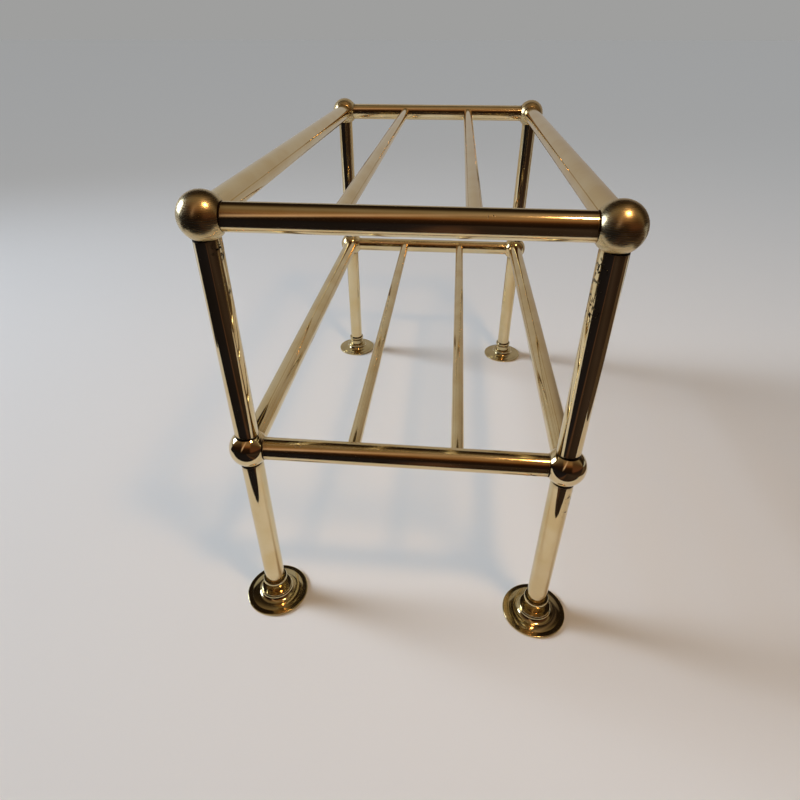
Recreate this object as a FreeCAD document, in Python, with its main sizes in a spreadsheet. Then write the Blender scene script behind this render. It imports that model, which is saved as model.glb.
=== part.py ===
import FreeCAD, Part
import math
import os

import Sketcher

# Two-tier brass tube rack for magazines: ball joints at every corner, flanged feet.
# Millimetres. The origin is on the floor at the middle of the footprint, +Z is up,
# +X runs along the short end rails to the right and +Y along the side rails to the back.

SIZES = {
    # rack, measured between tube axes
    "rack_width": 300.0,
    "rack_length": 600.0,
    "lower_tier_height": 220.0,
    "tier_spacing": 220.0,
    # tubes and bars
    "tube_diameter": 22.0,
    "tube_wall": 1.2,
    "bar_diameter": 13.0,
    "bar_wall": 1.0,
    "bar_insertion": 6.0,
    "bar_hole_clearance": 0.05,
    # ball joints
    "ball_stand": 8.0,
    "seat_depth": 1.0,
    "seat_clearance": 0.15,
    "ball_web": 2.5,
    # dowels that join each rail to its balls
    "dowel_grip": 16.0,
    "dowel_pin_diameter": 10.0,
    "dowel_clearance": 0.05,
    "dowel_tip_gap": 0.4,
    # tie rods that pull ball, post, ball, leg and foot together
    "rod_diameter": 8.0,
    "rod_hole_clearance": 0.2,
    "thread_clearance": 0.03,
    "rod_engagement": 5.0,
    "rod_tip_gap": 0.5,
    "nut_width": 13.0,
    "nut_height": 6.5,
    "washer_diameter": 16.0,
    "washer_thickness": 1.6,
    "rod_tail": 1.2,
    "floor_gap": 0.7,
    # turned foot flange
    "foot_diameter": 70.0,
    "foot_edge_round": 1.0,
    "rim_height": 2.6,
    "rim_width": 5.5,
    "rim_step": 0.4,
    "dome_rise": 1.2,
    "dome_curve": 30.0,
    "cove_width": 5.8,
    "cove_height": 5.7,
    "cove_curve": 6.2,
    "bead_stand": 3.65,
    "bead_height": 3.0,
    "bead_curve": 1.7,
    "waist_height": 9.6,
    "waist_curve": 30.0,
    "lip_height": 5.0,
    "lip_curve": 4.5,
    "collar_wall": 1.6,
    "mouth_chamfer": 0.6,
    "recess_clearance": 2.0,
    "foot_web": 3.0,
}


class Size:
    """A length held both as a number and as an expression of the spreadsheet."""

    def __init__(self, text, value):
        self.text = text
        self.value = value

    def _join(self, other, sign, value):
        other_text = other.text if isinstance(other, Size) else str(other)
        return Size(f"({self.text} {sign} {other_text})", value)

    def __add__(self, other):
        return self._join(other, "+", self.value + number(other))

    def __sub__(self, other):
        return self._join(other, "-", self.value - number(other))

    def __mul__(self, other):
        return self._join(other, "*", self.value * number(other))

    def __truediv__(self, other):
        return self._join(other, "/", self.value / number(other))

    def __neg__(self):
        return Size(f"(-1 * {self.text})", -self.value)


def number(item):
    return item.value if isinstance(item, Size) else float(item)


def magnitude(item):
    return Size(f"abs({item.text})", abs(item.value))


def root(item):
    return Size(f"sqrt({item.text})", math.sqrt(item.value))


doc = FreeCAD.newDocument("magazine_rack")
sheet = doc.addObject("Spreadsheet::Sheet", "sizes")
for row, (alias, amount) in enumerate(SIZES.items(), start=1):
    sheet.set(f"A{row}", alias)
    sheet.set(f"B{row}", str(amount))
    sheet.setAlias(f"B{row}", alias)
doc.recompute()


def size(alias):
    return Size(f"sizes.{alias}", float(sheet.get(alias)))


ZERO = Size("0", 0.0)

# Lengths that several pieces share.
half_width = size("rack_width") / 2
half_length = size("rack_length") / 2
lower_level = size("lower_tier_height")
top_level = lower_level + size("tier_spacing")
tube_radius = size("tube_diameter") / 2
tube_bore = tube_radius - size("tube_wall")
bar_radius = size("bar_diameter") / 2
ball_radius = tube_radius + size("ball_stand")
seat_radius = tube_radius + size("seat_clearance")
seat_rim = root(ball_radius * ball_radius - seat_radius * seat_radius)
seat_floor = seat_rim - size("seat_depth")
rod_radius = size("rod_diameter") / 2
rod_hole = rod_radius + size("rod_hole_clearance")
pin_radius = size("dowel_pin_diameter") / 2
pin_hole_floor = rod_hole + size("ball_web")
washer_radius = size("washer_diameter") / 2
recess_radius = washer_radius + size("recess_clearance")
nut_floor = size("floor_gap") + size("rod_tail")
nut_top = nut_floor + size("nut_height")
recess_top = nut_top + size("washer_thickness")
leg_seat = recess_top + size("foot_web")
leg_hole = tube_radius + size("seat_clearance")

# Turns that point a piece's own +Z along a direction of the rack.
TURNS = {
    "right": FreeCAD.Rotation(FreeCAD.Vector(0, 1, 0), 90),
    "left": FreeCAD.Rotation(FreeCAD.Vector(0, 1, 0), -90),
    "back": FreeCAD.Rotation(FreeCAD.Vector(1, 0, 0), -90),
    "front": FreeCAD.Rotation(FreeCAD.Vector(1, 0, 0), 90),
    "up": FreeCAD.Rotation(),
    "down": FreeCAD.Rotation(FreeCAD.Vector(1, 0, 0), 180),
}
STEPS = {
    "right": (1, 0, 0),
    "left": (-1, 0, 0),
    "back": (0, 1, 0),
    "front": (0, -1, 0),
    "up": (0, 0, 1),
    "down": (0, 0, -1),
}
SIDES = {"left": -half_width, "right": half_width}
ENDS = {"front": -half_length, "back": half_length}
TIERS = {"top": top_level, "lower": lower_level}
BAR_NAMES = ("left", "right")
bar_pitch = size("rack_width") / (len(BAR_NAMES) + 1)
BARS = {name: bar_pitch * (index + 1) - half_width for index, name in enumerate(BAR_NAMES)}
OPPOSITE = {"left": "right", "right": "left", "front": "back", "back": "front"}

nodes = []


def bind(item, **lengths):
    """Ties properties of an object, or constraints of a sketch, to the spreadsheet."""
    for name, length in lengths.items():
        item.setExpression(name, length.text)


def place(item, position, heading="up"):
    """Stands an object at a position, with its own +Z along the heading."""
    item.Placement = FreeCAD.Placement(FreeCAD.Vector(), TURNS[heading])
    for axis, length in zip("xyz", position):
        item.setExpression(f"Placement.Base.{axis}", length.text)


def along(heading, distance):
    """A position that lies a distance from the origin along a heading."""
    return [distance * step for step in STEPS[heading]]


def finish(item, label):
    """Names a finished sub-part and lists it for export."""
    item.Label = label
    nodes.append(item)


def cylinder(name, radius, height, position, heading="up"):
    rod = doc.addObject("Part::Cylinder", name)
    bind(rod, Radius=radius, Height=height)
    place(rod, position, heading)
    return rod


def plane_of(body, role):
    return next(item for item in body.Origin.OriginFeatures if item.Role == role)


def new_sketch(body, role, name):
    sketch = body.newObject("Sketcher::SketchObject", name)
    sketch.AttachmentSupport = [(plane_of(body, role), "")]
    sketch.MapMode = "FlatFace"
    return sketch


def dimension(sketch, kind, name, references, length):
    """Adds a named dimension to a sketch and ties it to the spreadsheet."""
    index = sketch.addConstraint(Sketcher.Constraint(kind, *references, abs(length.value)))
    sketch.renameConstraint(index, name)
    sketch.setExpression(f"Constraints.{name}", length.text)


def add_circle(sketch, name, radius, up=None):
    """Adds a dimensioned circle on the sketch's vertical axis, or on its origin."""
    centre = FreeCAD.Vector(0, up.value if up else 0, 0)
    circle = sketch.addGeometry(Part.Circle(centre, FreeCAD.Vector(0, 0, 1), radius.value))
    if up:
        sketch.addConstraint(Sketcher.Constraint("PointOnObject", circle, 3, -2))
        dimension(sketch, "DistanceY", f"{name}_height", (-1, 1, circle, 3), up)
    else:
        sketch.addConstraint(Sketcher.Constraint("Coincident", circle, 3, -1, 1))
    dimension(sketch, "Radius", f"{name}_radius", (circle,), radius)


def tube_body(name, outer, inner, length):
    """A straight tube that starts at the body's origin and runs up its Z axis."""
    body = doc.addObject("PartDesign::Body", name)
    ring = new_sketch(body, "XY_Plane", f"{name}_ring")
    add_circle(ring, "outer", outer)
    add_circle(ring, "inner", inner)
    pad = body.newObject("PartDesign::Pad", f"{name}_pad")
    pad.Profile = ring
    bind(pad, Length=length)
    return body


def drill_bar_holes(body, name, length, facing):
    """Drills one wall of an end rail where the middle bars enter it."""
    doc.recompute()
    whole = body.Shape.Volume
    holes = new_sketch(body, "XZ_Plane", f"{name}_holes")
    hole_radius = bar_radius + size("bar_hole_clearance")
    for side, across in BARS.items():
        add_circle(holes, side, hole_radius, up=length / 2 + across)
    pocket = body.newObject("PartDesign::Pocket", f"{name}_pocket")
    pocket.Profile = holes
    pocket.Type = "Length"
    pocket.Reversed = facing == "front"
    bind(pocket, Length=tube_radius + size("tube_wall"))
    doc.recompute()
    slug = math.pi * hole_radius.value**2 * size("tube_wall").value
    removed = whole - body.Shape.Volume
    both, four = len(BARS) * slug, 2 * len(BARS) * slug
    assert both < removed < four, f"{name}: bar holes removed {removed:.0f} mm3"


def make_rails():
    """Rails join the balls of each tier: short ones at the ends, long ones at the sides."""
    end_length = (half_width - seat_floor) * 2
    side_length = (half_length - seat_floor) * 2
    for tier, level in TIERS.items():
        for end, depth in ENDS.items():
            name = f"{tier}_end_rail_{end}"
            rail = tube_body(name, tube_radius, tube_bore, end_length)
            place(rail, (-(end_length / 2), depth, level), "right")
            drill_bar_holes(rail, name, end_length, OPPOSITE[end])
            finish(rail, name)
        for side, across in SIDES.items():
            name = f"{tier}_side_rail_{side}"
            rail = tube_body(name, tube_radius, tube_bore, side_length)
            place(rail, (across, -(side_length / 2), level), "back")
            finish(rail, name)


def make_bars():
    """Two thinner bars divide each tier, let into the walls of its end rails."""
    reach = half_length - tube_radius + size("bar_insertion")
    for tier, level in TIERS.items():
        for side, across in BARS.items():
            name = f"{tier}_bar_{side}"
            bar = tube_body(name, bar_radius, bar_radius - size("bar_wall"), reach * 2)
            place(bar, (across, -reach, level), "back")
            finish(bar, name)


def make_ball(name, position, tubes):
    """A ball with a flat seat for each tube, a dowel hole per rail and a rod hole."""
    ball = doc.addObject("Part::Sphere", f"{name}_sphere")
    bind(ball, Radius=ball_radius)
    cuts = []
    for heading in tubes:
        tool = f"{name}_{heading}"
        cuts.append(
            cylinder(f"{tool}_seat", seat_radius, ball_radius, along(heading, seat_floor), heading)
        )
        if heading in ("up", "down"):
            continue
        pin_hole = pin_radius + size("dowel_clearance")
        cuts.append(
            cylinder(f"{tool}_hole", pin_hole, ball_radius, along(heading, pin_hole_floor), heading)
        )
    if "up" in tubes:
        rod_cut = cylinder(f"{name}_rod", rod_hole, ball_radius * 2, (ZERO, ZERO, -ball_radius))
    else:
        tapped = rod_radius + size("thread_clearance")
        depth = ball_radius + size("rod_engagement") + size("rod_tip_gap")
        rod_cut = cylinder(f"{name}_rod", tapped, depth, (ZERO, ZERO, -ball_radius))
    cuts.append(rod_cut)
    tools = doc.addObject("Part::MultiFuse", f"{name}_cuts")
    tools.Shapes = cuts
    body = doc.addObject("Part::Cut", name)
    body.Base = ball
    body.Tool = tools
    place(body, position)
    finish(body, name)


def make_balls():
    """Top balls take two rails and a post; lower balls take two rails, a post and a leg."""
    for tier, level in TIERS.items():
        uprights = ("down",) if tier == "top" else ("up", "down")
        for end, depth in ENDS.items():
            for side, across in SIDES.items():
                tubes = (OPPOSITE[side], OPPOSITE[end]) + uprights
                make_ball(f"{tier}_ball_{end}_{side}", (across, depth, level), tubes)


def make_uprights():
    """Posts between the two tiers, and legs from the lower tier down to the feet."""
    post_foot = lower_level + seat_floor
    post_length = size("tier_spacing") - seat_floor * 2
    leg_length = lower_level - seat_floor - leg_seat
    for end, depth in ENDS.items():
        for side, across in SIDES.items():
            post_name = f"upper_post_{end}_{side}"
            post = tube_body(post_name, tube_radius, tube_bore, post_length)
            place(post, (across, depth, post_foot))
            finish(post, post_name)
            leg_name = f"leg_{end}_{side}"
            leg = tube_body(leg_name, tube_radius, tube_bore, leg_length)
            place(leg, (across, depth, leg_seat))
            finish(leg, leg_name)


def foot_outline():
    """Corners of the foot's section as (radius, height, curve to the next corner).

    A curve is the radius of the arc that leads on to the next corner, None where the
    section is straight: a positive one bulges outwards and a negative one is hollow.
    """
    foot_radius = size("foot_diameter") / 2
    rounding = size("foot_edge_round")
    rim_top = size("rim_height")
    dome_foot = foot_radius - size("rim_width")
    dome_base = rim_top + size("rim_step")
    waist = leg_hole + size("collar_wall")
    bead_foot = waist + size("bead_stand")
    cove_foot = bead_foot + size("cove_width")
    cove_base = dome_base + size("dome_rise")
    bead_base = cove_base + size("cove_height")
    bead_top = bead_base + size("bead_height")
    lip_base = bead_top + size("waist_height")
    collar_top = lip_base + size("lip_height")
    chamfer = size("mouth_chamfer")
    return [
        (recess_radius, ZERO, None),
        (foot_radius, ZERO, None),
        (foot_radius, rim_top - rounding, rounding),
        (foot_radius - rounding, rim_top, None),
        (dome_foot, rim_top, None),
        (dome_foot, dome_base, size("dome_curve")),
        (cove_foot, cove_base, -size("cove_curve")),
        (bead_foot, bead_base, size("bead_curve")),
        (bead_foot, bead_top, None),
        (waist, bead_top, -size("waist_curve")),
        (waist, lip_base, size("lip_curve")),
        (waist, collar_top, None),
        (leg_hole + chamfer, collar_top, None),
        (leg_hole, collar_top - chamfer, None),
        (leg_hole, leg_seat, None),
        (rod_hole, leg_seat, None),
        (rod_hole, recess_top, None),
        (recess_radius, recess_top, None),
    ]


def arc_between(start, end, curve):
    """The shorter arc of a given radius between two points, bulging to the right of travel."""
    chord = end - start
    half = chord.Length / 2
    sagitta = abs(curve) - math.sqrt(curve * curve - half * half)
    outwards = FreeCAD.Vector(chord.y, -chord.x, 0).normalize()
    middle = (start + end) / 2 + outwards * math.copysign(sagitta, curve)
    return Part.Arc(start, middle, end)


def add_edge(sketch, start, end, curve):
    """Adds a line or an arc, and returns it with the numbers of its two end points."""
    if curve is None:
        return sketch.addGeometry(Part.LineSegment(start, end)), 1, 2
    edge = sketch.addGeometry(arc_between(start, end, curve.value))
    dimension(sketch, "Radius", f"curve_{edge}", (edge,), magnitude(curve))
    if sketch.getPoint(edge, 1).distanceToPoint(start) < 1e-6:
        return edge, 1, 2
    return edge, 2, 1


def add_section(sketch, outline):
    """Draws a closed outline of lines and arcs and dimensions each of its corners."""
    corners = [FreeCAD.Vector(across.value, height.value, 0) for across, height, _ in outline]
    following = corners[1:] + corners[:1]
    edges = []
    for start, end, (_, _, curve) in zip(corners, following, outline):
        edges.append(add_edge(sketch, start, end, curve))
    for index, (edge, _, last) in enumerate(edges):
        after, first, _ = edges[(index + 1) % len(edges)]
        sketch.addConstraint(Sketcher.Constraint("Coincident", edge, last, after, first))
    for index, ((edge, first, _), (across, height, _)) in enumerate(zip(edges, outline)):
        dimension(sketch, "DistanceX", f"radius_{index}", (-1, 1, edge, first), across)
        if height is ZERO:
            sketch.addConstraint(Sketcher.Constraint("PointOnObject", edge, first, -1))
        else:
            dimension(sketch, "DistanceY", f"height_{index}", (-1, 1, edge, first), height)


def make_feet():
    """Turned flanges: stepped disc, cove, bead, waist and lip, bored for leg, rod and nut."""
    for end, depth in ENDS.items():
        for side, across in SIDES.items():
            name = f"foot_{end}_{side}"
            foot = doc.addObject("PartDesign::Body", name)
            section = new_sketch(foot, "XZ_Plane", f"{name}_section")
            add_section(section, foot_outline())
            turned = foot.newObject("PartDesign::Revolution", f"{name}_turned")
            turned.Profile = section
            turned.ReferenceAxis = (section, ["V_Axis"])
            turned.Angle = 360
            place(foot, (across, depth, ZERO))
            finish(foot, name)


def group(label, members):
    """Keeps identical hidden pieces together as one sub-part of separate solids."""
    compound = doc.addObject("Part::Compound", label)
    compound.Links = members
    finish(compound, label)


def make_dowel(name, position, heading):
    """A stepped dowel: a barrel inside the end of a rail and a pin inside the ball."""
    barrel_radius = tube_bore - size("dowel_clearance")
    barrel = cylinder(
        f"{name}_barrel", barrel_radius, size("dowel_grip"), along(heading, seat_floor), heading
    )
    pin_tip = pin_hole_floor + size("dowel_tip_gap")
    pin = cylinder(
        f"{name}_pin", pin_radius, seat_floor - pin_tip, along(heading, pin_tip), heading
    )
    dowel = doc.addObject("Part::MultiFuse", name)
    dowel.Shapes = [barrel, pin]
    place(dowel, position)
    return dowel


def make_dowels():
    for tier, level in TIERS.items():
        dowels = []
        for end, depth in ENDS.items():
            for side, across in SIDES.items():
                for heading in (OPPOSITE[side], OPPOSITE[end]):
                    name = f"{tier}_dowel_{end}_{side}_{heading}"
                    dowels.append(make_dowel(name, (across, depth, level), heading))
        group(f"{tier}_rail_dowels", dowels)


def bored(name, outside, hole):
    """A piece with a hole through it, such as a nut or a washer."""
    piece = doc.addObject("Part::Cut", name)
    piece.Base = outside
    piece.Tool = hole
    return piece


def make_fixings():
    """A tie rod up each corner, tapped into the top ball, with a washer and nut below."""
    rod_length = top_level + size("rod_engagement") - size("floor_gap")
    nuts = []
    washers = []
    for end, depth in ENDS.items():
        for side, across in SIDES.items():
            corner = f"{end}_{side}"
            rod = cylinder(
                f"tie_rod_{corner}", rod_radius, rod_length, (across, depth, size("floor_gap"))
            )
            finish(rod, f"tie_rod_{corner}")
            nut_seat = (across, depth, nut_floor)
            hexagon = doc.addObject("Part::Prism", f"nut_{corner}_hexagon")
            hexagon.Polygon = 6
            bind(hexagon, Circumradius=size("nut_width") / root(Size("3", 3.0)))
            bind(hexagon, Height=size("nut_height"))
            place(hexagon, nut_seat)
            thread = rod_radius + size("thread_clearance")
            hole = cylinder(f"nut_{corner}_thread", thread, size("nut_height"), nut_seat)
            nuts.append(bored(f"nut_{corner}", hexagon, hole))
            thickness = size("washer_thickness")
            washer_seat = (across, depth, nut_top)
            disc = cylinder(f"washer_{corner}_disc", washer_radius, thickness, washer_seat)
            hole = cylinder(f"washer_{corner}_hole", rod_hole, thickness, washer_seat)
            washers.append(bored(f"washer_{corner}", disc, hole))
    group("tie_rod_nuts", nuts)
    group("tie_rod_washers", washers)


def check_and_write():
    """Refuses any failed object or broken shape, then writes each sub-part to its file."""
    doc.recompute()
    for item in doc.Objects:
        assert not {"Invalid", "Error"} & set(item.State), f"{item.Name}: {item.State}"
    for node in nodes:
        assert not node.Shape.isNull() and node.Shape.isValid(), f"{node.Label}: broken shape"
    os.makedirs("parts", exist_ok=True)
    for node in nodes:
        node.Shape.exportStep(f"parts/{node.Label}.step")
        solids = len(node.Shape.Solids)
        print(f"{node.Label}: {solids} solid(s), {node.Shape.Volume / 1000:.2f} cm3")


make_balls()
make_rails()
make_bars()
make_uprights()
make_feet()
make_dowels()
make_fixings()
check_and_write()
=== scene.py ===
import math

import bpy
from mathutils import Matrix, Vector


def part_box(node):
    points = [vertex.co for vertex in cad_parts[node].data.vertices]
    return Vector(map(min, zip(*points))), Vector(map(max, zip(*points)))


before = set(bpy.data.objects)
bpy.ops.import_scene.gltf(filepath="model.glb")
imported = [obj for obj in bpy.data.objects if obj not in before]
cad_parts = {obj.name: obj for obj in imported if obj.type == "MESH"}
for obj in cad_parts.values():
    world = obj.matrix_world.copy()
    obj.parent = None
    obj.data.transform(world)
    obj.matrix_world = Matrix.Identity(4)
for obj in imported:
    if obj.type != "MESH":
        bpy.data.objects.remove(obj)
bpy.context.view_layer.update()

# Everything is in metres, and a size in millimetres is multiplied by this.
MM = 0.001


def middle(name):
    """The middle of a node's box."""
    low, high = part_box(name)
    return [(a + b) / 2 for a, b in zip(low, high)]


# The middle of a corner ball's box, and the height of it on the lower tier. The tubes' seats cut a
# top ball flat on its inner sides only, so its box's middle is 1.8 mm outside its own middle.
CORNER_X, CORNER_Y, TOP_TIER = middle("top_ball_back_right")
LOWER_TIER = middle("lower_ball_back_right")[2]

# The axes of the tubes: how far the uprights stand to each side, where the front end is, and how
# high its two rails are.
UPRIGHT_X = middle("upper_post_back_right")[0]
FRONT_Y, TOP_RAIL_Z = middle("top_end_rail_front")[1:]
LOWER_RAIL_Z = middle("lower_end_rail_front")[2]

# Where the legs come out of the collars of the feet.
COLLAR_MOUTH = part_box("foot_back_right")[1][2]

# The numbers of the inputs of a Mix node that mixes colours, and of its output.
FACTOR, FROM, TO = 0, 6, 7
MIXED = 2


def srgb(code):
    """An sRGB hex colour as linear red, green, blue and alpha."""
    channels = [int(code[i:i + 2], 16) / 255 for i in (0, 2, 4)]
    return [c / 12.92 if c <= 0.04045 else ((c + 0.055) / 1.055) ** 2.4 for c in channels] + [1.0]


def node(tree, kind, links=None, stops=(), **settings):
    """Adds a node with its settings and links.

    links gives each input a value, a socket, or a node whose first live output feeds it.
    stops are a colour band's (place, hex colour) pairs, in order.
    """
    added = tree.nodes.new(kind)
    for name, value in settings.items():
        setattr(added, name, value)
    for name, value in (links or {}).items():
        if isinstance(value, bpy.types.Node):
            value = next(output for output in value.outputs if output.enabled)
        if isinstance(value, bpy.types.NodeSocket):
            tree.links.new(value, added.inputs[name])
        else:
            added.inputs[name].default_value = value
    for index, (place, code) in enumerate(stops):
        if index > 1:
            added.color_ramp.elements.new(place)
        added.color_ramp.elements[index].position = place
        added.color_ramp.elements[index].color = srgb(code)
    return added


# The brasses. Each kind of piece was made in its own way, and that sets its marks and its gloss.

PALE_BRASS = srgb("E6D3A8")
WARM_BRASS = srgb("D9BC82")
SATIN_BRASS = srgb("D4C297")
WARM_SATIN_BRASS = srgb("BC9E6A")
DULL_BRASS = srgb("D2C297")
WARM_DULL_BRASS = srgb("B09A68")
# The colour of tarnish in the pinholes, and also of the painted shade on the tubes round each ball.
TARNISH_AND_JOINT_SHADE = srgb("8A6A3C")
OLD_POLISH = srgb("2A1D10")

# Sizes of what years of use leave on the lacquer. Its pinholes are finer than a speck here, and
# are drawn as coarse as they need to show.
CLOUD = 45 * MM
STAIN = 22 * MM
SPECK = 1.6 * MM
CHIP = 3.2 * MM

# The slow waves that buffing leaves in the metal, and how high they and the tool marks can be.
RIPPLE = 14 * MM
RIPPLE_HEIGHT = 0.2 * MM
MARK_HEIGHT = 0.02 * MM

# Most of a noise texture lies between these values, and each pattern takes the part of it that is
# over its own pair: none at the first and all at the second.
NOISE_LOW, NOISE_HIGH = 0.3, 0.7
CLOUDED = (0.35, 0.70)
STAINED = (0.52, 0.68)
PINHOLED = (0.66, 0.74)
FLAKED = (0.56, 0.60)

# How much of a chipped spot's reach is full of flakes.
CORE = 0.4

# How far the yellowing goes, how much the tool marks change the roughness, and how much tarnish
# and dried polish add to it.
MOST_YELLOWED = 0.55
ROUGHNESS_PLAY = 0.02
TARNISH_DULLS = 0.35
POLISH_DULLS = 0.5

# Painted shade: the tubes are darkened round each ball, where the joint shades them, from nothing
# at the far distance to the most at the near one.
JOINT_SHADE_FAR = 26 * MM
JOINT_SHADE_NEAR = 19 * MM
MOST_JOINT_SHADE = 0.4

# A line of dried polish: how wide its soft edge is, how far its ragged edge strays out and falls
# back, and how far above a collar's mouth it runs.
SOFT_EDGE = 0.6 * MM
STRAYS_OUT = 0.3 * MM
FALLS_BACK = 0.5 * MM
OVER_COLLAR = 0.3 * MM


def new_metal(name):
    """Starts a metal: gives the material, its node tree, its shader and the place on the rack."""
    material = bpy.data.materials.new(name)
    material.use_nodes = True
    tree = material.node_tree
    shader = tree.nodes["Principled BSDF"]
    shader.inputs["Metallic"].default_value = 1.0
    return material, tree, shader, node(tree, "ShaderNodeTexCoord").outputs["Object"]


def from_nearest_ball(tree, place):
    """The way from the middle of the nearest ball's box, as if the rack were folded to one corner."""
    between_tiers = (0, 0, (TOP_TIER + LOWER_TIER) / 2)
    corner = (CORNER_X, CORNER_Y, (TOP_TIER - LOWER_TIER) / 2)
    folded = node(tree, "ShaderNodeVectorMath", {0: place, 1: between_tiers}, operation="SUBTRACT")
    folded = node(tree, "ShaderNodeVectorMath", {0: folded}, operation="ABSOLUTE")
    return node(tree, "ShaderNodeVectorMath", {0: folded, 1: corner}, operation="SUBTRACT")


def round_an_upright(tree, place):
    """The place as distance from the nearest corner's upright line along x, and height along z."""
    from_line = node(tree, "ShaderNodeVectorMath", {
        0: from_nearest_ball(tree, place), 1: (1, 1, 0),
    }, operation="MULTIPLY")
    radius = node(tree, "ShaderNodeVectorMath", {0: from_line}, operation="LENGTH")
    height = node(tree, "ShaderNodeSeparateXYZ", {"Vector": place}).outputs["Z"]
    return node(tree, "ShaderNodeCombineXYZ", {"X": radius, "Z": height})


def joint_distances(tree, place):
    """How far a point is from the nearest ball's box middle, end rail's line and collar's mouth.

    The first two are measured from the corner that from_nearest_ball folds the rack onto.
    """
    from_ball = from_nearest_ball(tree, place)
    ball = node(tree, "ShaderNodeVectorMath", {0: from_ball}, operation="LENGTH")
    from_rail = node(tree, "ShaderNodeVectorMath", {0: from_ball, 1: (0, 1, 1)}, operation="MULTIPLY")
    rail = node(tree, "ShaderNodeVectorMath", {0: from_rail}, operation="LENGTH")
    height = node(tree, "ShaderNodeSeparateXYZ", {"Vector": place}).outputs["Z"]
    from_mouth = node(tree, "ShaderNodeMath", {0: height, 1: COLLAR_MOUTH + OVER_COLLAR},
                      operation="SUBTRACT")
    mouth = node(tree, "ShaderNodeMath", {0: from_mouth}, operation="ABSOLUTE")
    return {"ball": ball, "end_rail": rail, "collar": mouth}


def seam_dirt(tree, distances, specks, seams):
    """Where old polish has dried along the joints: 1 in the line, with a ragged edge."""
    ragged = node(tree, "ShaderNodeMapRange", {
        "Value": specks, "From Min": NOISE_LOW, "From Max": NOISE_HIGH,
        "To Min": -STRAYS_OUT, "To Max": FALLS_BACK,
    }, interpolation_type="SMOOTHSTEP")
    dirt = 0.0
    for joint, reach in seams:
        edge = node(tree, "ShaderNodeMath", {0: distances[joint], 1: ragged}, operation="ADD")
        line = node(tree, "ShaderNodeMapRange", {
            "Value": edge, "From Min": reach, "From Max": reach - SOFT_EDGE,
        }, interpolation_type="SMOOTHSTEP")
        dirt = node(tree, "ShaderNodeMath", {0: dirt, 1: line}, operation="MAXIMUM")
    return dirt


def chipped_lacquer(tree, place, spots):
    """Where the lacquer has flaked off and the bare brass has gone dark: 1 in a flake.

    Each spot is full of flakes out to CORE of its reach, and they thin out from there.
    """
    flakes = node(tree, "ShaderNodeTexNoise", {"Vector": place, "Scale": 1 / CHIP, "Detail": 2.0})
    flakes = node(tree, "ShaderNodeMapRange", {
        "Value": flakes, "From Min": FLAKED[0], "From Max": FLAKED[1],
    }, interpolation_type="SMOOTHSTEP")
    worn = 0.0
    for spot, reach in spots:
        away = node(tree, "ShaderNodeVectorMath", {0: place, 1: spot}, operation="DISTANCE")
        near = node(tree, "ShaderNodeMapRange", {
            "Value": away, "From Min": reach, "From Max": reach * CORE,
        }, interpolation_type="SMOOTHSTEP")
        worn = node(tree, "ShaderNodeMath", {0: worn, 1: near}, operation="MAXIMUM")
    return node(tree, "ShaderNodeMath", {0: worn, 1: flakes}, operation="MULTIPLY")


def pinholes(tree, place, specks, amount):
    """Specks of tarnish in the lacquer's pinholes, thick in stained patches and none elsewhere."""
    holes = node(tree, "ShaderNodeMapRange", {
        "Value": specks, "From Min": PINHOLED[0], "From Max": PINHOLED[1],
    }, interpolation_type="SMOOTHSTEP")
    patch = node(tree, "ShaderNodeTexNoise", {"Vector": place, "Scale": 1 / STAIN, "Detail": 3.0})
    patch = node(tree, "ShaderNodeMapRange", {
        "Value": patch, "From Min": STAINED[0], "From Max": STAINED[1], "To Max": amount,
    }, interpolation_type="SMOOTHSTEP")
    return node(tree, "ShaderNodeMath", {0: holes, 1: patch}, operation="MULTIPLY")


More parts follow.
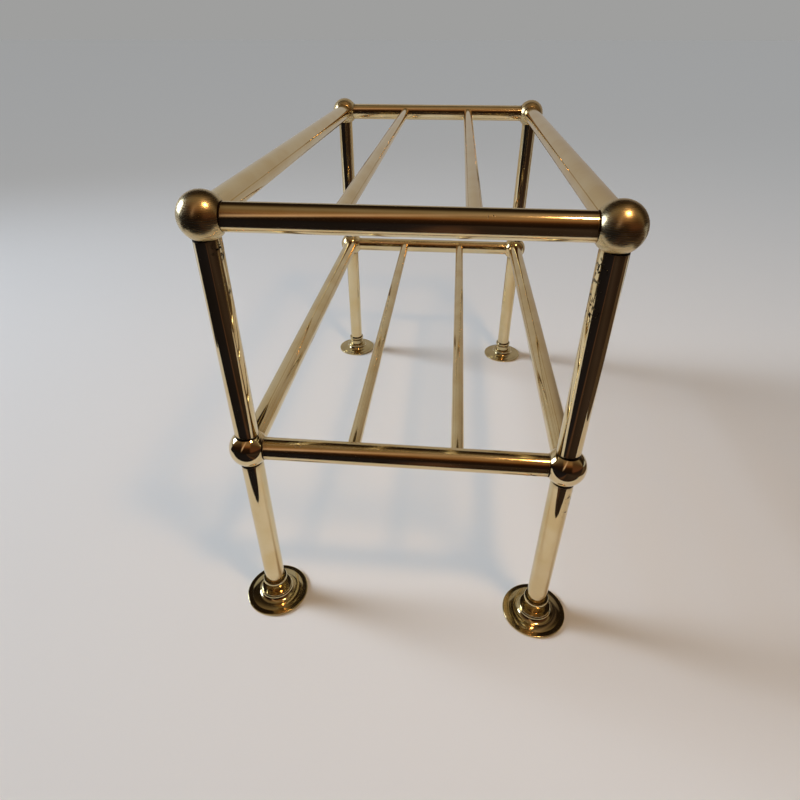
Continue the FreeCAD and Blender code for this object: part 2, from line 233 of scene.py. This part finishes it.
def brass(name, marks, roughness, colours=(PALE_BRASS, WARM_BRASS), specks=0.5, seams=(), chips=(),
          mark_depth=0.12, waviness=0.10, turned=False):
    """A brass with its tool marks, yellowed clouds, specks, chips, dirty joints and painted shade
    round each ball.

    marks is the size of its tool marks along x, y and z, or for a turned piece the width of
    their rings outwards, as x, and upwards, as z. colours are its clean and its yellowed colour.
    seams are (joint, how far the dirt reaches from it). chips are (spot, reach).
    """
    material, tree, shader, place = new_metal(name)
    along = round_an_upright(tree, place) if turned else place
    along = node(tree, "ShaderNodeMapping", {"Vector": along, "Scale": [1 / size for size in marks]})
    lines = node(tree, "ShaderNodeTexNoise", {"Vector": along, "Scale": 1.0, "Detail": 2.0})
    rough = node(tree, "ShaderNodeMapRange", {
        "Value": lines, "From Min": NOISE_LOW, "From Max": NOISE_HIGH,
        "To Min": roughness - ROUGHNESS_PLAY, "To Max": roughness + ROUGHNESS_PLAY,
    }, interpolation_type="SMOOTHSTEP")
    cloud = node(tree, "ShaderNodeTexNoise", {"Vector": place, "Scale": 1 / CLOUD, "Detail": 3.0})
    cloud = node(tree, "ShaderNodeMapRange", {
        "Value": cloud, "From Min": CLOUDED[0], "From Max": CLOUDED[1], "To Max": MOST_YELLOWED,
    }, interpolation_type="SMOOTHSTEP")
    colour = node(tree, "ShaderNodeMix", {FACTOR: cloud, FROM: colours[0], TO: colours[1]},
                  data_type="RGBA")
    dust = node(tree, "ShaderNodeTexNoise", {
        "Vector": place, "Scale": 1 / SPECK, "Detail": 4.0, "Roughness": 0.7,
    })
    dull = pinholes(tree, place, dust, specks)
    colour = node(tree, "ShaderNodeMix", {FACTOR: dull, FROM: colour, TO: TARNISH_AND_JOINT_SHADE}, data_type="RGBA")
    if chips:
        flakes = chipped_lacquer(tree, place, chips)
        colour = node(tree, "ShaderNodeMix", {FACTOR: flakes, FROM: colour, TO: OLD_POLISH},
                      data_type="RGBA")
        dull = node(tree, "ShaderNodeMath", {0: dull, 1: flakes}, operation="MAXIMUM")
    rough = node(tree, "ShaderNodeMath", {0: dull, 1: TARNISH_DULLS, 2: rough},
                 operation="MULTIPLY_ADD")
    if seams:
        distances = joint_distances(tree, place)
        # Painted shade: the tubes darken towards each ball, where the joint shades them.
        painted_joint_shade = node(tree, "ShaderNodeMapRange", {
            "Value": distances["ball"], "From Min": JOINT_SHADE_FAR, "From Max": JOINT_SHADE_NEAR,
            "To Max": MOST_JOINT_SHADE,
        }, interpolation_type="SMOOTHSTEP")
        colour = node(tree, "ShaderNodeMix", {FACTOR: painted_joint_shade, FROM: colour, TO: TARNISH_AND_JOINT_SHADE},
                      data_type="RGBA")
        dirt = seam_dirt(tree, distances, dust, seams)
        colour = node(tree, "ShaderNodeMix", {FACTOR: dirt, FROM: colour, TO: OLD_POLISH},
                      data_type="RGBA")
        rough = node(tree, "ShaderNodeMath", {0: dirt, 1: POLISH_DULLS, 2: rough},
                     operation="MULTIPLY_ADD")
    swell = node(tree, "ShaderNodeTexNoise", {"Vector": place, "Scale": 1 / RIPPLE, "Detail": 1.0})
    wavy = node(tree, "ShaderNodeBump", {
        "Height": swell, "Strength": waviness, "Distance": RIPPLE_HEIGHT,
    })
    marked = node(tree, "ShaderNodeBump", {
        "Height": lines, "Strength": mark_depth, "Distance": MARK_HEIGHT, "Normal": wavy,
    })
    tree.links.new(colour.outputs[MIXED], shader.inputs["Base Color"])
    tree.links.new(rough.outputs[0], shader.inputs["Roughness"])
    tree.links.new(marked.outputs[0], shader.inputs["Normal"])
    return material


# A drawn tube's die lines are a few hundredths of a millimetre wide and as long as the tube, too
# fine to show. They are drawn 0.9 mm wide and fade in and out over 120 mm.
DIE_LINE = 0.9 * MM
DIE_RUN = 120 * MM
# A lathe's rings are finer than 0.1 mm, and are drawn as wide as they need to show. Along its own
# length, a ring changes slowly.
TURNED_RING = 0.5 * MM
SATIN_RING = 0.4 * MM
BUFFED_RING = 0.6 * MM
FOOT_RING = 1.6 * MM
ROUND_A_DOWEL = 40 * MM
ROUND_A_BALL = 120 * MM

# How far the dried polish reaches: from the middle of a ball's box, from the line of an end rail
# where a thin bar goes into it, and each side of a collar's mouth.
BALL_SEAM = ("ball", 21.2 * MM)
BAR_SEAM = ("end_rail", 12.4 * MM)
COLLAR_SEAM = ("collar", 1.2 * MM)

# Where the lacquer has flaked: at the top of both front posts, under the lower right ball, and in
# a few places on the front end rails. SKIN is from a tube's axis to just under its surface. How
# far each spot is forwards of the axis and under its tier, and its reach, are in millimetres.
SKIN = 10.5 * MM
UPRIGHT_CHIPS = [
    ((side, FRONT_Y - forwards * MM, tier - drop * MM), reach * MM)
    for side, forwards, tier, drop, reach in [
        (SKIN - UPRIGHT_X, 2, TOP_RAIL_Z, 24, 12),
        (SKIN - UPRIGHT_X, 2, TOP_RAIL_Z, 55, 8),
        (UPRIGHT_X - SKIN, 3, TOP_RAIL_Z, 28, 13),
        (UPRIGHT_X - SKIN, 3, TOP_RAIL_Z, 45, 13),
        (UPRIGHT_X - SKIN, 3, TOP_RAIL_Z, 62, 13),
        (UPRIGHT_X + SKIN, 3, LOWER_RAIL_Z, 34, 13),
        (UPRIGHT_X + SKIN, 3, LOWER_RAIL_Z, 52, 13),
    ]
]
END_RAIL_CHIPS = [
    ((UPRIGHT_X - 31 * MM, FRONT_Y - 8.5 * MM, LOWER_RAIL_Z - 6.5 * MM), 9 * MM),
    ((50 * MM - UPRIGHT_X, FRONT_Y - 4 * MM, LOWER_RAIL_Z + 10 * MM), 5 * MM),
    ((UPRIGHT_X - 90 * MM, FRONT_Y - 8 * MM, TOP_RAIL_Z + 7 * MM), 4 * MM),
]

# Drawn brass tube, buffed bright and lacquered. The side rails, thin bars, posts and legs are
# almost mirrors: they show the room as sharp bands along their length, which the die lines and a
# slight waviness break up. The end rails are a little duller, and their bands have soft edges.
tube_across = brass("drawn_brass_tube_across", (DIE_RUN, DIE_LINE, DIE_LINE), 0.13,
                    seams=[BALL_SEAM], chips=END_RAIL_CHIPS, mark_depth=0.18)
tube_lengthways = brass("drawn_brass_tube_lengthways", (DIE_LINE, DIE_RUN, DIE_LINE), 0.06,
                        seams=[BALL_SEAM, BAR_SEAM], mark_depth=0.18)
tube_upright = brass("drawn_brass_tube_upright", (DIE_LINE, DIE_LINE, DIE_RUN), 0.06,
                     seams=[BALL_SEAM, COLLAR_SEAM], chips=UPRIGHT_CHIPS, mark_depth=0.22)

# Turned brass rubbed to a satin by hands and years: no images, only soft wide glows, and a
# greyer, more tarnished gold than the tubes.
satin_ball = brass("satin_turned_brass_ball", (ROUND_A_BALL, ROUND_A_BALL, SATIN_RING), 0.27,
                   colours=(SATIN_BRASS, WARM_SATIN_BRASS), specks=0.3, mark_depth=0.02)

# Turned brass buffed to a mirror: the room shrinks to small sharp patches, a little wavy where
# the wheel has rounded the lathe's rings.
mirror_ball = brass("mirror_turned_brass_ball", (ROUND_A_BALL, ROUND_A_BALL, BUFFED_RING), 0.05,
                    specks=0.6, waviness=0.25)

# Turned brass flange, buffed: thin bright and dark rings follow its steps round the leg.
turned_foot = brass("buffed_turned_brass_foot", (FOOT_RING, FOOT_RING, FOOT_RING), 0.11,
                    colours=(DULL_BRASS, WARM_DULL_BRASS), specks=0.4, mark_depth=0.4, turned=True)

# Turned brass straight from the lathe: duller, with rings across the dowel.
turned_dowel = brass("turned_brass_dowel", (ROUND_A_DOWEL, TURNED_RING, TURNED_RING), 0.2,
                     specks=0.2)


# The blotches on the zinc plating, and its grain, which is finer than it is drawn here.
BLOTCH = 6 * MM
ZINC_GRAIN = 0.8 * MM
GRAIN_HEIGHT = 0.05 * MM


def plated_steel():
    """Zinc plated steel: a cool grey with soft highlights, dulled and blotched by handling."""
    material, tree, shader, place = new_metal("zinc_plated_steel")
    blotch = node(tree, "ShaderNodeTexNoise", {"Vector": place, "Scale": 1 / BLOTCH, "Detail": 4.0})
    duller = node(tree, "ShaderNodeMapRange", {
        "Value": blotch, "From Min": CLOUDED[0], "From Max": CLOUDED[1],
    }, interpolation_type="SMOOTHSTEP")
    colour = node(tree, "ShaderNodeMix", {
        FACTOR: duller, FROM: srgb("C3C6C6"), TO: srgb("9C9A90"),
    }, data_type="RGBA")
    rough = node(tree, "ShaderNodeMapRange", {
        "Value": blotch, "From Min": NOISE_LOW, "From Max": NOISE_HIGH, "To Min": 0.25, "To Max": 0.45,
    }, interpolation_type="SMOOTHSTEP")
    grain = node(tree, "ShaderNodeTexNoise", {"Vector": place, "Scale": 1 / ZINC_GRAIN, "Detail": 3.0})
    bump = node(tree, "ShaderNodeBump", {
        "Height": grain, "Strength": 0.15, "Distance": GRAIN_HEIGHT,
    })
    tree.links.new(colour.outputs[MIXED], shader.inputs["Base Color"])
    tree.links.new(rough.outputs[0], shader.inputs["Roughness"])
    tree.links.new(bump.outputs[0], shader.inputs["Normal"])
    return material


steel = plated_steel()

# Each piece takes the first finish here whose word is in its name.
finishes = [
    ("top_ball", satin_ball),
    ("lower_ball", mirror_ball),
    ("foot", turned_foot),
    ("tie_rod", steel),
    ("dowels", turned_dowel),
    ("end_rail", tube_across),
    ("side_rail", tube_lengthways),
    ("_bar_", tube_lengthways),
    ("post", tube_upright),
    ("leg", tube_upright),
]
for name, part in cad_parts.items():
    part.data.materials.clear()
    part.data.materials.append(next(finish for word, finish in finishes if word in name))

# The studio: a plain pale floor, a cool window on the left and a warm lamp up on the right.

# How far the floor and the cards on it go out to each side.
FAR = 30

bpy.ops.mesh.primitive_plane_add(size=2 * FAR)
floor = bpy.context.object
floor.name = "floor"
pale_floor = bpy.data.materials.new("pale_floor")
pale_floor.use_nodes = True
surface = pale_floor.node_tree.nodes["Principled BSDF"].inputs
surface["Base Color"].default_value = srgb("E2E0DC")
surface["Roughness"].default_value = 0.85
floor.data.materials.append(pale_floor)


def card(name, corners, bands):
    """A card that only reflections see, as studios use to give brass its bands.

    bands gives its colours from left to right as (x, hex colour).
    """
    bpy.ops.mesh.primitive_plane_add(size=1)
    made = bpy.context.object
    made.name = name
    for vertex, corner in zip(made.data.vertices, corners):
        vertex.co = corner
    made.visible_camera = False
    made.visible_diffuse = False
    made.visible_shadow = False
    made.visible_transmission = False
    cloth = bpy.data.materials.new(name)
    cloth.use_nodes = True
    tree = cloth.node_tree
    tree.nodes.clear()
    place = node(tree, "ShaderNodeTexCoord").outputs["Object"]
    x = node(tree, "ShaderNodeSeparateXYZ", {"Vector": place})
    first, last = bands[0][0], bands[-1][0]
    along = node(tree, "ShaderNodeMapRange", {"Value": x, "From Min": first, "From Max": last})
    stops = [((at - first) / (last - first), code) for at, code in bands]
    colour = node(tree, "ShaderNodeValToRGB", {"Fac": along}, stops)
    glow = node(tree, "ShaderNodeEmission", {"Color": colour})
    node(tree, "ShaderNodeOutputMaterial", {"Surface": glow})
    made.data.materials.append(cloth)


CARD_LIFT = 1 * MM


def lying(low, high):
    """A card's corners, lying just over the floor from its low corner to its high one."""
    return [(x, y, CARD_LIFT) for y in (low[1], high[1]) for x in (low[0], high[0])]


def standing(left, right, y, height):
    """A card's corners, upright on the floor."""
    return [(x, y, z) for z in (0, height) for x in (left, right)]


# Dark cards lie on the floor in front of the rack and beyond it on each side, and a pale one
# stands behind it. These are the edges nearest the rack.
FRONT_EDGE = -0.475
LEFT_EDGE = -0.80
RIGHT_EDGE = 0.56
WALL_X, WALL_Y, WALL_HEIGHT = 1.6, 0.50, 0.84

card("dark_card_front", lying((-FAR, -FAR), (FAR, FRONT_EDGE)), [
    (-1.0, "18161A"), (-0.05, "1E1B1F"), (0.01, "4C372D"), (0.05, "4C372D"), (0.09, "2C231F"),
    (0.5, "3A2F2A"), (1.0, "2C211C"),
])
card("dark_card_left", lying((-FAR, FRONT_EDGE), (LEFT_EDGE, -0.2)), [
    (-1.0, "1E1B1F"), (0.0, "1E1B1F"),
])
card("dark_card_right", lying((RIGHT_EDGE, FRONT_EDGE), (FAR, 0.2)), [
    (0.0, "45382E"), (2.0, "5A4A3C"),
])
card("pale_card_back", standing(-WALL_X, WALL_X, WALL_Y, WALL_HEIGHT), [
    (-0.8, "B2B0AC"), (0.0, "A9A299"), (0.5, "978C81"), (0.8, "655A50"), (1.2, "4C4037"),
])

# The room that only reflections see. Each set of colours goes from the skyline in front, at 0,
# through straight up, at 0.5, to the skyline behind, at 1, and is the same again below.
FAR_ROOM = [(0.500, "82735C"), (0.560, "695A46"), (0.620, "382D1E"), (0.680, "211810"),
            (0.800, "241B12"), (1.000, "30271D")]
DARK_CORNER = [(0.000, "161210"), (0.180, "271912"), (0.300, "453527"), (0.420, "6F5D49")]
BROWN_MIDDLE = [(0.000, "191210"), (0.120, "27180D"), (0.170, "3A2412"), (0.210, "653F27"),
                (0.250, "7F5938"), (0.300, "896B4B"), (0.360, "7C6145"), (0.420, "7C6950")]
WARM_CORNER = [(0.000, "271810"), (0.060, "593829"), (0.170, "563825"), (0.300, "4F3926"),
               (0.420, "695640")]

# A bright doorway in the middle of the room, whose reflection leans and fades to the right.
DOORWAY = [(0.325, "000000"), (0.375, "FFFFFF"), (0.400, "FFFFFF"), (0.470, "000000")]
DOORWAY_LEAN = -0.69

world = bpy.data.worlds.new("studio")
bpy.context.scene.world = world
world.use_nodes = True
world.cycles.sampling_method = "NONE"
room = world.node_tree
way = node(room, "ShaderNodeTexCoord").outputs["Generated"]
way = node(room, "ShaderNodeSeparateXYZ", {"Vector": way}).outputs
up = node(room, "ShaderNodeMath", {0: way["Z"]}, operation="ABSOLUTE")
forwards = node(room, "ShaderNodeMath", {0: way["Y"], 1: -1.0}, operation="MULTIPLY")
turn = node(room, "ShaderNodeMath", {0: up, 1: forwards}, operation="ARCTAN2")
turn = node(room, "ShaderNodeMath", {0: turn, 1: math.pi}, operation="DIVIDE")
left = node(room, "ShaderNodeValToRGB", {"Fac": turn}, DARK_CORNER + FAR_ROOM)
ahead = node(room, "ShaderNodeValToRGB", {"Fac": turn}, BROWN_MIDDLE + FAR_ROOM)
right = node(room, "ShaderNodeValToRGB", {"Fac": turn}, WARM_CORNER + FAR_ROOM)
leaning = node(room, "ShaderNodeMath", {0: way["X"], 1: DOORWAY_LEAN, 2: turn},
               operation="MULTIPLY_ADD")
doorway = node(room, "ShaderNodeValToRGB", {"Fac": leaning}, DOORWAY)
fading = node(room, "ShaderNodeMapRange", {
    "Value": way["X"], "From Min": -0.35, "From Max": 0.05, "To Min": 0.9, "To Max": 0.18,
})
doorway = node(room, "ShaderNodeMath", {0: doorway, 1: fading}, operation="MULTIPLY")
ahead = node(room, "ShaderNodeMix", {FACTOR: doorway, FROM: ahead, TO: srgb("E7C5AD")},
             data_type="RGBA")
# The dark corner on the left turns into the warm one on the right, and the two take over from the
# middle further out to the sides.
rightwards = node(room, "ShaderNodeMapRange", {
    "Value": way["X"], "From Min": -0.1, "From Max": 0.3,
}, interpolation_type="SMOOTHSTEP")
sides = node(room, "ShaderNodeMix", {FACTOR: rightwards, FROM: left, TO: right}, data_type="RGBA")
sideways = node(room, "ShaderNodeMath", {0: way["X"]}, operation="ABSOLUTE")
sideways = node(room, "ShaderNodeMapRange", {
    "Value": sideways, "From Min": 0.30, "From Max": 0.50,
}, interpolation_type="SMOOTHSTEP")
mirrored = node(room, "ShaderNodeMix", {FACTOR: sideways, FROM: ahead, TO: sides}, data_type="RGBA")
# Everything but a reflection sees a plain room, paler to the camera.
ray = node(room, "ShaderNodeLightPath").outputs
plain = node(room, "ShaderNodeMix", {
    FACTOR: ray["Is Camera Ray"], FROM: srgb("797570"), TO: srgb("9F9F9E"),
}, data_type="RGBA")
seen = node(room, "ShaderNodeMix", {FACTOR: ray["Is Glossy Ray"], FROM: plain, TO: mirrored},
            data_type="RGBA")
room.links.new(seen.outputs[MIXED], room.nodes["Background"].inputs["Color"])
room.nodes["Background"].inputs["Strength"].default_value = 1.0

RACK_MIDDLE = Vector((0, 0, 0.25))


def lamp(name, direction, reach, width, height, power, code):
    """An area light that points at the rack's middle, so far away from it in a direction."""
    place = RACK_MIDDLE + Vector(direction).normalized() * reach
    bpy.ops.object.light_add(type="AREA", location=place)
    made = bpy.context.object
    made.name = name
    made.data.shape = "RECTANGLE"
    made.data.size = width
    made.data.size_y = height
    made.data.energy = power
    made.data.color = srgb(code)[:3]
    made.rotation_euler = (RACK_MIDDLE - place).to_track_quat("-Z", "Y").to_euler()
    return made


window = lamp("window_left", direction=(-0.93, 0.12, 0.33), reach=3.4, width=1.3, height=1.5,
              power=11.5, code="D9E9FF")
window.data.spread = math.radians(75)
lamp("lamp_right", direction=(0.30, -0.42, 0.85), reach=1.6, width=0.2, height=0.2, power=7,
     code="FFCE96")

# Daylight from the same side as the window, which lights the whole floor alike.
bpy.ops.object.light_add(type="SUN", location=(-3, 0.4, 1.4))
daylight = bpy.context.object
daylight.name = "daylight"
daylight.data.energy = 3.1
daylight.data.angle = math.radians(22)
daylight.data.color = srgb("E4EFFC")[:3]
daylight.rotation_euler = Vector((0.93, -0.12, -0.40)).to_track_quat("-Z", "Y").to_euler()
daylight.visible_glossy = False

# A wide lens close above the front end, looking down along the rack.
bpy.ops.object.camera_add(location=(0.0330, -0.6930, 0.5556),
                          rotation=[math.radians(angle) for angle in (55.52, 0.04, 5.32)])
camera = bpy.context.object
camera.data.sensor_width = 36
camera.data.lens = 24.52
bpy.context.scene.camera = camera
bpy.context.scene.view_settings.view_transform = "Standard"
